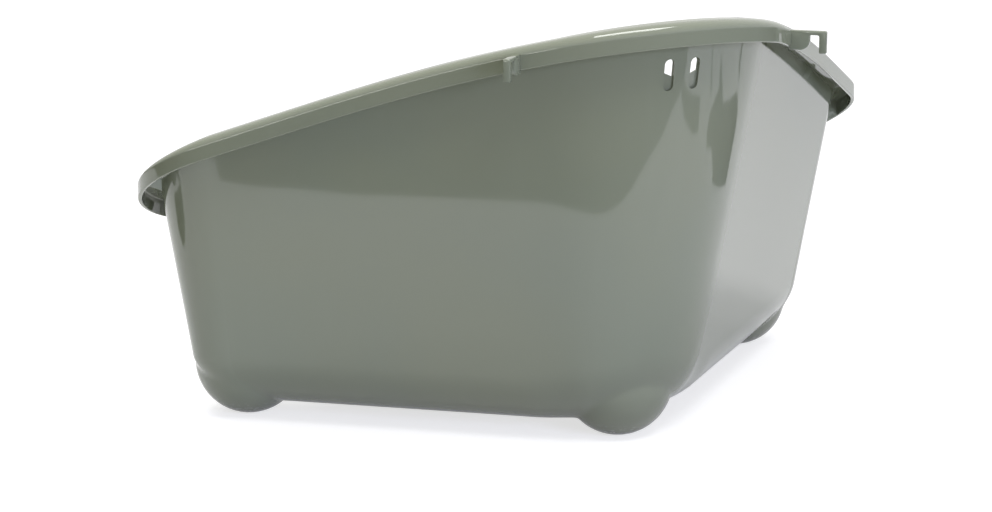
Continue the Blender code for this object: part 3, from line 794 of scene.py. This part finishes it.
def slot_cutters(form):
    """Bars that cut the two slots: a shallow recess and a shorter opening in each."""
    round_end, whole = form.slot_width / 2, form.slot_length
    recess = (arc_points((0, round_end), round_end, -math.pi, 0, SLOT_STEPS)
              + arc_points((0, whole - round_end), round_end, 0, math.pi, SLOT_STEPS))
    middle = form.height - form.slot_below_rim - whole
    radius = (form.corner_radius - form.rim_width
              - math.tan(form.leg_draft) * (form.height - middle))
    up = Vector((0, 0, 1))
    cutters = []
    for side in (-1, 1):
        half = round_end - form.slot_ledge
        deep, shallow = form.slot_open_inner, form.slot_open_outer
        left, right = (deep, shallow) if side < 0 else (shallow, deep)
        opening = (arc_points((0, whole - round_end), half, 0, math.pi, SLOT_STEPS)
                   + [(-half, whole - left), (half, whole - right)])
        swing = math.asin(side * form.slot_spacing / 2 / radius)
        level = Vector((math.sin(swing), math.cos(swing), 0))
        outward = level * math.cos(form.leg_draft) - up * math.sin(form.leg_draft)
        along = level * math.sin(form.leg_draft) + up * math.cos(form.leg_draft)
        root = Vector((*form.corner_centre, middle)) + level * radius
        for points, depth in ((opening, CUT_DEPTH), (recess, form.slot_recess)):
            cutter = plate("slot_cutter", points, depth + CUT_PAST, 0)
            cutter.matrix_world = placed(root + outward * (CUT_PAST - depth) / 2,
                                         along.cross(outward), along, outward)
            cutters.append(cutter)
    return cutters


def cut_slots(form, basin, normals):
    """Cuts the slots and gives every other face the skin's own normals again."""
    points = [v.co.copy() for v in basin.data.vertices]
    faces = [tuple(p.vertices) for p in basin.data.polygons]
    reference = BVHTree.FromPolygons(points, faces)
    basin.data.materials.append(bpy.data.materials.new("skin_marker"))
    cutters = slot_cutters(form)
    for cutter in cutters:
        cutter.data.materials.append(bpy.data.materials.new("cut_marker"))
        modifier = basin.modifiers.new("slot", "BOOLEAN")
        modifier.operation = "DIFFERENCE"
        modifier.solver = "EXACT"
        modifier.material_mode = "TRANSFER"
        modifier.object = cutter
    depsgraph = bpy.context.evaluated_depsgraph_get()
    cut = bpy.data.meshes.new_from_object(basin.evaluated_get(depsgraph))
    basin.modifiers.clear()
    basin.data = cut
    for cutter in cutters:
        bpy.data.objects.remove(cutter)
    is_cut = [bool(slot and slot.name.startswith("cut")) for slot in cut.materials]
    shading = []
    for polygon in cut.polygons:
        for vertex in polygon.vertices:
            facing = polygon.normal
            if not is_cut[polygon.material_index]:
                spot, _, face, away = reference.find_nearest(cut.vertices[vertex].co)
                if away <= SKIN_REACH:
                    shares = poly_3d_calc([points[i] for i in faces[face]], spot)
                    blended = sum((Vector(normals[i]) * part
                                   for i, part in zip(faces[face], shares)), Vector())
                    if blended.normalized().dot(facing) > SKIN_FACING:
                        facing = blended.normalized()
            shading.append(tuple(facing))
    cut.normals_split_custom_set(shading)


def check_closed(piece):
    """Stops the script where a piece has an open edge or faces inwards."""
    shape = bmesh.new()
    shape.from_mesh(piece.data)
    closed = all(edge.is_manifold for edge in shape.edges)
    volume = shape.calc_volume(signed=True)
    shape.free()
    if not closed or volume <= 0:
        raise RuntimeError(f"{piece.name} isn't a closed piece that faces outwards")


class TRAY_OT_shell(bpy.types.Operator):
    """Build the moulded shell: basin, rim and the three ball feet, with no seam between them"""

    bl_idname = "tray.shell"
    bl_label = "Basin, rim and feet"
    bl_options = {"REGISTER", "UNDO"}

    def execute(self, context):
        form = TrayForm(context.scene.tray_sizes)
        finish = context.scene.tray_finish
        grid, owner, counts = tray_grid(form)
        normals = soften_bends(grid, grid_normals(grid))
        beside = np.roll(owner, -1, axis=1)
        cell_owner = np.maximum.reduce([owner[:-1], owner[1:], beside[:-1], beside[1:]])
        skin_rows = counts[0] - 1
        cell_owner[-skin_rows:] = cell_owner[:skin_rows][::-1]
        nodes = ("basin", *form.foot_centres(), "rim")
        cell_owner[skin_rows:-skin_rows] = nodes.index("rim")
        for number, node in enumerate(nodes):
            points, faces, sides, point_normals = skin_cells(grid, normals, cell_owner == number)
            if node == "basin":
                low, high = ([points.index(tuple(place)) for place in grid[row]]
                             for row in (0, -1))
                faces += [tuple(low), tuple(high[::-1])]
            name = "rim_flange" if node == "rim" else node + "_shell"
            piece = mesh_from(name, points, faces + sides, point_normals)
            check_closed(piece)
            if node == "basin":
                cut_slots(form, piece, point_normals)
            wear = 1.0 if node.startswith("foot") else 0.0
            finish_piece(piece, node, plastic(finish, node + "_plastic", wear))
        return {"FINISHED"}


# Sides of the tray, as the sign of X and the word in the pieces' names.
SIDES = ((1, "right"), (-1, "left"))
HOOK_BEND_STEPS = 6
HOOK_WEB_STEPS = 12


class TRAY_OT_hooks(bpy.types.Operator):
    """Build the two hooks that hang over a wire of the cage"""

    bl_idname = "tray.hooks"
    bl_label = "Cage hooks"
    bl_options = {"REGISTER", "UNDO"}

    def execute(self, context):
        form = TrayForm(context.scene.tray_sizes)
        slant = form.leg_length / (form.leg_end.x - form.leg_start.x)
        item = form.at_leg((form.leg_end.x - form.hook_from_middle) * slant)
        reach, bend, web_round = form.hook_reach, form.hook_rounding, form.hook_web_rounding
        lip = reach - form.hook_lip
        web = lip - form.hook_wire_gap
        top = -form.hook_below_rim
        web_foot = top - form.hook_web
        ceiling = top - form.hook_top
        quarter = math.pi / 2
        root = -form.skirt / 2
        points = (
            [(root, top)]
            + arc_points((reach - bend, top - bend), bend, quarter, 0, HOOK_BEND_STEPS)
            + [(reach, top - form.hook_drop), (lip, top - form.hook_drop)]
            + arc_points((lip - bend, ceiling - bend), bend, 0, quarter, HOOK_BEND_STEPS)
            + arc_points((web + bend, ceiling - bend), bend, quarter, 2 * quarter,
                         HOOK_BEND_STEPS)
            + arc_points((web - web_round, web_foot + web_round), web_round, 0, -quarter,
                         HOOK_WEB_STEPS)
            + [(root, web_foot)]
        )
        material = plastic(context.scene.tray_finish, "hook_plastic")
        for side, word in SIDES:
            piece = plate(f"cage_hook_{word}_plate", points, form.hook_thickness, form.hook_edge)
            piece.matrix_world = across_rim(item, side)
            finish_piece(piece, "cage_hook_" + word, material)
        return {"FINISHED"}


# The ribs' upper end lies under the rim's curved top: shares of its height and of the skirt.
RIB_DROP = 0.75
RIB_INSET = 1.5


class TRAY_OT_ribs(bpy.types.Operator):
    """Build the small ribs in the angle of flange and skirt"""

    bl_idname = "tray.ribs"
    bl_label = "Ribs under the rim"
    bl_options = {"REGISTER", "UNDO"}

    def execute(self, context):
        form = TrayForm(context.scene.tray_sizes)
        places = (
            ("leg_rib", form.at_leg(form.leg_rib_place), form.leg_rib_reach, form.leg_rib_depth),
            ("tip_rib", form.at_tip(form.tip_rib_angle), form.tip_rib_reach, form.tip_rib_depth),
        )
        material = plastic(context.scene.tray_finish, "rib_plastic")
        skirt, under = -form.skirt / 2, -form.flange / 2
        for name, item, reach, depth in places:
            points = [(skirt, -RIB_DROP * form.rim_rounding), (-RIB_INSET * form.skirt, under),
                      (-reach, under), (-reach, -depth), (skirt, -form.rib_skirt_depth)]
            for side, word in SIDES:
                piece = plate(f"{name}_{word}_plate", points, form.rib_thickness, form.rib_edge)
                piece.matrix_world = across_rim(item, side)
                finish_piece(piece, f"{name}_{word}", material)
        return {"FINISHED"}


# ---- Stage --------------------------------------------------------------------------------------

WHITE = (1, 1, 1, 1)
FLOOR_SIZE = 12.0
# The floor lies this far below the feet, and the cards above the floor's level.
FLOOR_DROP = 0.0002
CARD_HEIGHT = 0.001
FLOOR_ROUGHNESS = 0.9
GRAIN_SCALE, GRAIN_SHOWS, GRAIN_STRENGTH = 300.0, (0.3, 0.7), 0.02
CARD_TONE = (0.02, 0.02, 0.02, 1)
# Outlines of dark cards on the floor, in metres. The tray's gloss shows them, and nothing else
# does.
DARK_OUTLINES = (
    ("dark_card_far", (
        (0.318, 0.052), (0.303, 0.060), (0.281, 0.078), (0.262, 0.091), (0.245, 0.107),
        (0.228, 0.122), (0.211, 0.137), (0.191, 0.155), (0.150, 0.188), (0.113, 0.210),
        (0.075, 0.232), (0.035, 0.255), (-0.010, 0.283), (-0.043, 0.298), (-0.091, 0.312),
        (-0.135, 0.329), (-0.173, 0.335), (-0.194, 0.345), (-0.210, 0.361), (-0.225, 0.45),
        (-0.60, 0.50), (-0.75, 0.20), (-0.90, -0.20), (-3.5, -0.8), (-3.5, 3.5), (3.5, 3.5),
        (3.5, -3.5), (0.3, -3.5), (0.45, -0.9), (0.60, -0.5), (0.55, 0.0), (0.345, 0.064))),
    ("dark_card_side", (
        (-0.294, 0.211), (-0.281, 0.190), (-0.304, 0.164), (-0.301, 0.140), (-0.288, 0.110),
        (-0.337, -0.009), (-0.373, -0.013), (-0.400, -0.019), (-0.429, -0.023),
        (-0.453, -0.012), (-0.467, 0.025), (-0.462, 0.050), (-0.425, 0.100), (-0.385, 0.155),
        (-0.400, 0.222), (-0.392, 0.236), (-0.372, 0.200), (-0.354, 0.208), (-0.316, 0.218))),
    ("dark_card_side_end", (
        (-0.500, 0.080), (-0.520, 0.082), (-0.524, 0.070), (-0.478, 0.030))),
    ("dark_card_thin", (
        (-0.325, 0.240), (-0.342, 0.290), (-0.347, 0.285), (-0.333, 0.236))),
    ("dark_card_fold", (
        (-0.189, 0.347), (-0.177, 0.331), (-0.188, 0.299), (-0.222, 0.260), (-0.250, 0.243),
        (-0.271, 0.280), (-0.215, 0.320))),
    ("dark_card_tip", (
        (0.335, -0.235), (0.370, -0.155), (0.325, -0.150), (0.300, -0.165), (0.285, -0.185),
        (0.292, -0.222), (0.315, -0.235))),
)
# Lamps: name, place, width, height, power, colour, and the one kind of light that they give.
LAMP_AIM = Vector((0.0, 0.0, 0.08))
LAMPS = (
    ("overhead", (0.28, -0.26, 1.5), 0.6, 0.6, 14.8, (1.0, 1.0, 1.0), "diffuse"),
    ("key", (0.05, 1.12, 1.80), 0.8, 0.6, 18.0, (1.0, 1.0, 1.0), "diffuse"),
    ("fill", (-0.25, 2.0, 0.60), 0.9, 0.5, 30.0, (0.64, 0.67, 1.0), "diffuse"),
    ("side_strip", (2.2, 0.72, 0.24), 1.5, 0.36, 9.5, (1.0, 0.99, 0.93), "gloss"),
    ("top_card", (-0.20, -0.30, 1.5), 0.6, 0.5, 7.5, (1.0, 1.0, 1.0), "gloss"),
    ("low_card", (0.27, 2.10, 0.55), 0.3, 0.12, 0.5, (1.0, 1.0, 1.0), "gloss"),
    ("front_soft", (0.10, -1.3, 1.4), 1.0, 1.0, 8.0, (1.0, 1.0, 1.0), "diffuse"),
)
CAMERA_AIM = Vector((0.0, 0.0, 0.09))
# The camera's sensor, in millimetres.
SENSOR_WIDTH = 36.0


class TRAY_OT_stage(bpy.types.Operator):
    """Set up the pale floor, the soft lamps and the camera"""

    bl_idname = "tray.stage"
    bl_label = "Stage, lamps and camera"
    bl_options = {"REGISTER", "UNDO"}

    def execute(self, context):
        look = context.scene.stage_look
        self.floor(look)
        self.dark_surround()
        self.world(context, look)
        self.lamps(look)
        self.camera(context, look)
        context.scene.view_settings.view_transform = "Standard"
        return {"FINISHED"}

    def seen(self, wire, part, gloss_part):
        """How much of the second shader shows: part for the camera and through clear parts,
        gloss_part in gloss, and nothing for the rays that light the object."""
        path = wire.node("ShaderNodeLightPath")
        camera, gloss, clear = (wire.out(path, name) for name in (
            "Is Camera Ray", "Is Glossy Ray", "Is Transmission Ray"))
        return wire.maths("MAXIMUM", camera, clear) * part + gloss * gloss_part

    def mix_shaders(self, part, first, second, output):
        """Mixes two shaders into a material's or world's output, by the second one's part."""
        mixed = part.node("ShaderNodeMixShader", None, _0=part, _1=part.out(first),
                          _2=part.out(second))
        part.out(mixed).feed(output, "Surface")

    def matt(self, name, roughness):
        """A material without gloss, its shader and its wire."""
        material, shader, wire = new_material(name)
        shader.inputs["Roughness"].default_value = roughness
        shader.inputs["Specular IOR Level"].default_value = 0.0
        return material, shader, wire

    def flat_piece(self, name, outline, height, material):
        """A flat stage piece from its outline, seen from above."""
        mesh = bpy.data.meshes.new(name)
        mesh.from_pydata([(x, y, 0) for x, y in outline], [], [tuple(range(len(outline)))])
        mesh.update()
        mesh.materials.append(material)
        piece = add(name, mesh)
        piece.location.z = height
        return piece

    def floor(self, look):
        """A pale floor that keeps the tray's shadow and otherwise shows near white."""
        material, shader, wire = self.matt("pale_floor", FLOOR_ROUGHNESS)
        grain = wire.place().noise(GRAIN_SCALE).between(*GRAIN_SHOWS) * GRAIN_STRENGTH
        grain.mix(look.floor, look.floor_grain).feed(shader, "Base Color")
        glow = wire.node("ShaderNodeEmission", None, Color=WHITE, Strength=look.floor_light)
        self.mix_shaders(self.seen(wire, look.floor_glow, look.floor_gloss), shader, glow,
                         wire.tree.nodes["Material Output"])
        side = FLOOR_SIZE / 2
        self.flat_piece("floor", ((-side, -side), (side, -side), (side, side), (-side, side)),
                        -FLOOR_DROP, material)

    def dark_surround(self):
        """Dark cards at the edge of the pale floor, which only the tray's gloss shows."""
        material, shader, _ = self.matt("dark_card", 1.0)
        shader.inputs["Base Color"].default_value = CARD_TONE
        for name, outline in DARK_OUTLINES:
            card = self.flat_piece(name, outline, CARD_HEIGHT, material)
            for rays in ("camera", "diffuse", "transmission", "volume_scatter", "shadow"):
                setattr(card, "visible_" + rays, False)

    def world(self, context, look):
        """A soft even light, which looks white to the camera and in gloss."""
        world = bpy.data.worlds.new("studio")
        context.scene.world = world
        world.use_nodes = True
        wire = Wire(world.node_tree, None)
        soft = world.node_tree.nodes["Background"]
        soft.inputs["Color"].default_value = WHITE
        soft.inputs["Strength"].default_value = look.ambient
        white = wire.node("ShaderNodeBackground", None, Color=WHITE, Strength=1.0)
        self.mix_shaders(self.seen(wire, 1, 1), soft, white, world.node_tree.nodes["World Output"])

    def lamps(self, look):
        """The lamps, each seen by diffuse light alone or by gloss alone."""
        for name, place, width, height, power, tone, lights in LAMPS:
            lamp = bpy.data.lights.new(name, "AREA")
            lamp.shape = "RECTANGLE"
            lamp.size, lamp.size_y = width, height
            lamp.energy = power * look.lamp_power
            lamp.color = tone
            item = add(name, lamp)
            item.location = place
            direction = LAMP_AIM - Vector(place)
            item.rotation_euler = direction.to_track_quat("-Z", "Y").to_euler()
            item.visible_glossy = lights == "gloss"
            item.visible_diffuse = lights == "diffuse"

    def camera(self, context, look):
        """The camera at the photograph's place, turned and moved by its settings."""
        azimuth, elevation, roll = look.azimuth, look.elevation, look.roll
        back = Vector((math.sin(azimuth) * math.cos(elevation),
                       -math.cos(azimuth) * math.cos(elevation), math.sin(elevation)))
        right = Vector((math.cos(azimuth), math.sin(azimuth), 0))
        up = back.cross(right)
        across = right * math.cos(roll) + up * math.sin(roll)
        upright = up * math.cos(roll) - right * math.sin(roll)
        data = bpy.data.cameras.new("camera")
        data.sensor_width = SENSOR_WIDTH
        data.lens = look.lens
        camera = add("camera", data)
        camera.matrix_world = placed(CAMERA_AIM + back * look.distance + across * look.aside
                                     + upright * look.lift, across, upright, back)
        context.scene.camera = camera


class TRAY_PT_sidebar(bpy.types.Panel):
    """Lists the tray's operators and settings"""

    bl_label = "Litter Tray"
    bl_space_type = "VIEW_3D"
    bl_region_type = "UI"
    bl_category = "Litter Tray"

    def draw(self, context):
        column = self.layout.column()
        for operator in OPERATORS:
            column.operator(operator.bl_idname)
        for group in (context.scene.tray_finish, context.scene.stage_look,
                      context.scene.tray_sizes):
            box = self.layout.box()
            for name in type(group).__annotations__:
                box.prop(group, name)


OPERATORS = (TRAY_OT_shell, TRAY_OT_hooks, TRAY_OT_ribs, TRAY_OT_stage)
GROUPS = {"tray_sizes": TraySizes, "tray_finish": TrayFinish, "stage_look": StageLook}


def register():
    """Adds the settings, the operators and the panel."""
    for item in (*GROUPS.values(), *OPERATORS, TRAY_PT_sidebar):
        bpy.utils.register_class(item)
    for name, group in GROUPS.items():
        setattr(bpy.types.Scene, name, bpy.props.PointerProperty(type=group))


def unregister():
    """Takes the panel, the operators and the settings away again."""
    for name in GROUPS:
        delattr(bpy.types.Scene, name)
    for item in (TRAY_PT_sidebar, *reversed(OPERATORS), *GROUPS.values()):
        bpy.utils.unregister_class(item)


def main():
    """Builds everything."""
    register()
    bpy.ops.tray.shell()
    bpy.ops.tray.hooks()
    bpy.ops.tray.ribs()
    bpy.ops.tray.stage()


if __name__ == "__main__":
    main()
